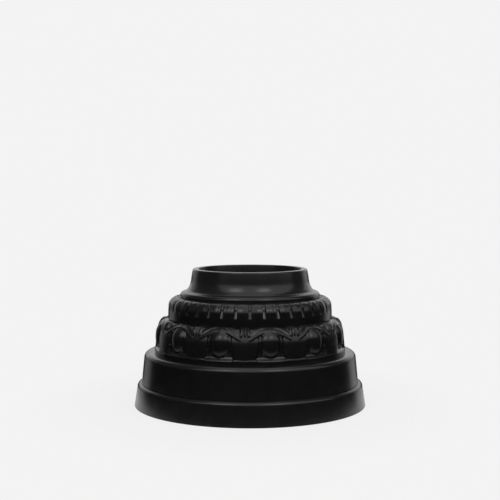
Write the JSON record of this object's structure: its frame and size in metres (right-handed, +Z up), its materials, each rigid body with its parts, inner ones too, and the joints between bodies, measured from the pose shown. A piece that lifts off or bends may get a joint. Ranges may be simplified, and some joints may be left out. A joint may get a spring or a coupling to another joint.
{
  "type": "column base",
  "caption": "Round hollow cast column base with a stepped foot, a carved egg band, a band of upright tongues and a bored collar that slips over a round column.",
  "frame": {"origin": "on the ground at the centre of the foot", "axes": "+Z up along the column's axis, towards the collar; -Y is the front"},
  "size_m": [0.32, 0.32, 0.1875],
  "materials": {
    "black_paint": "semi-gloss black paint over cast metal"
  },
  "bodies": {
    "root": {"column_base": "black_paint"}
  },
  "joints": []
}
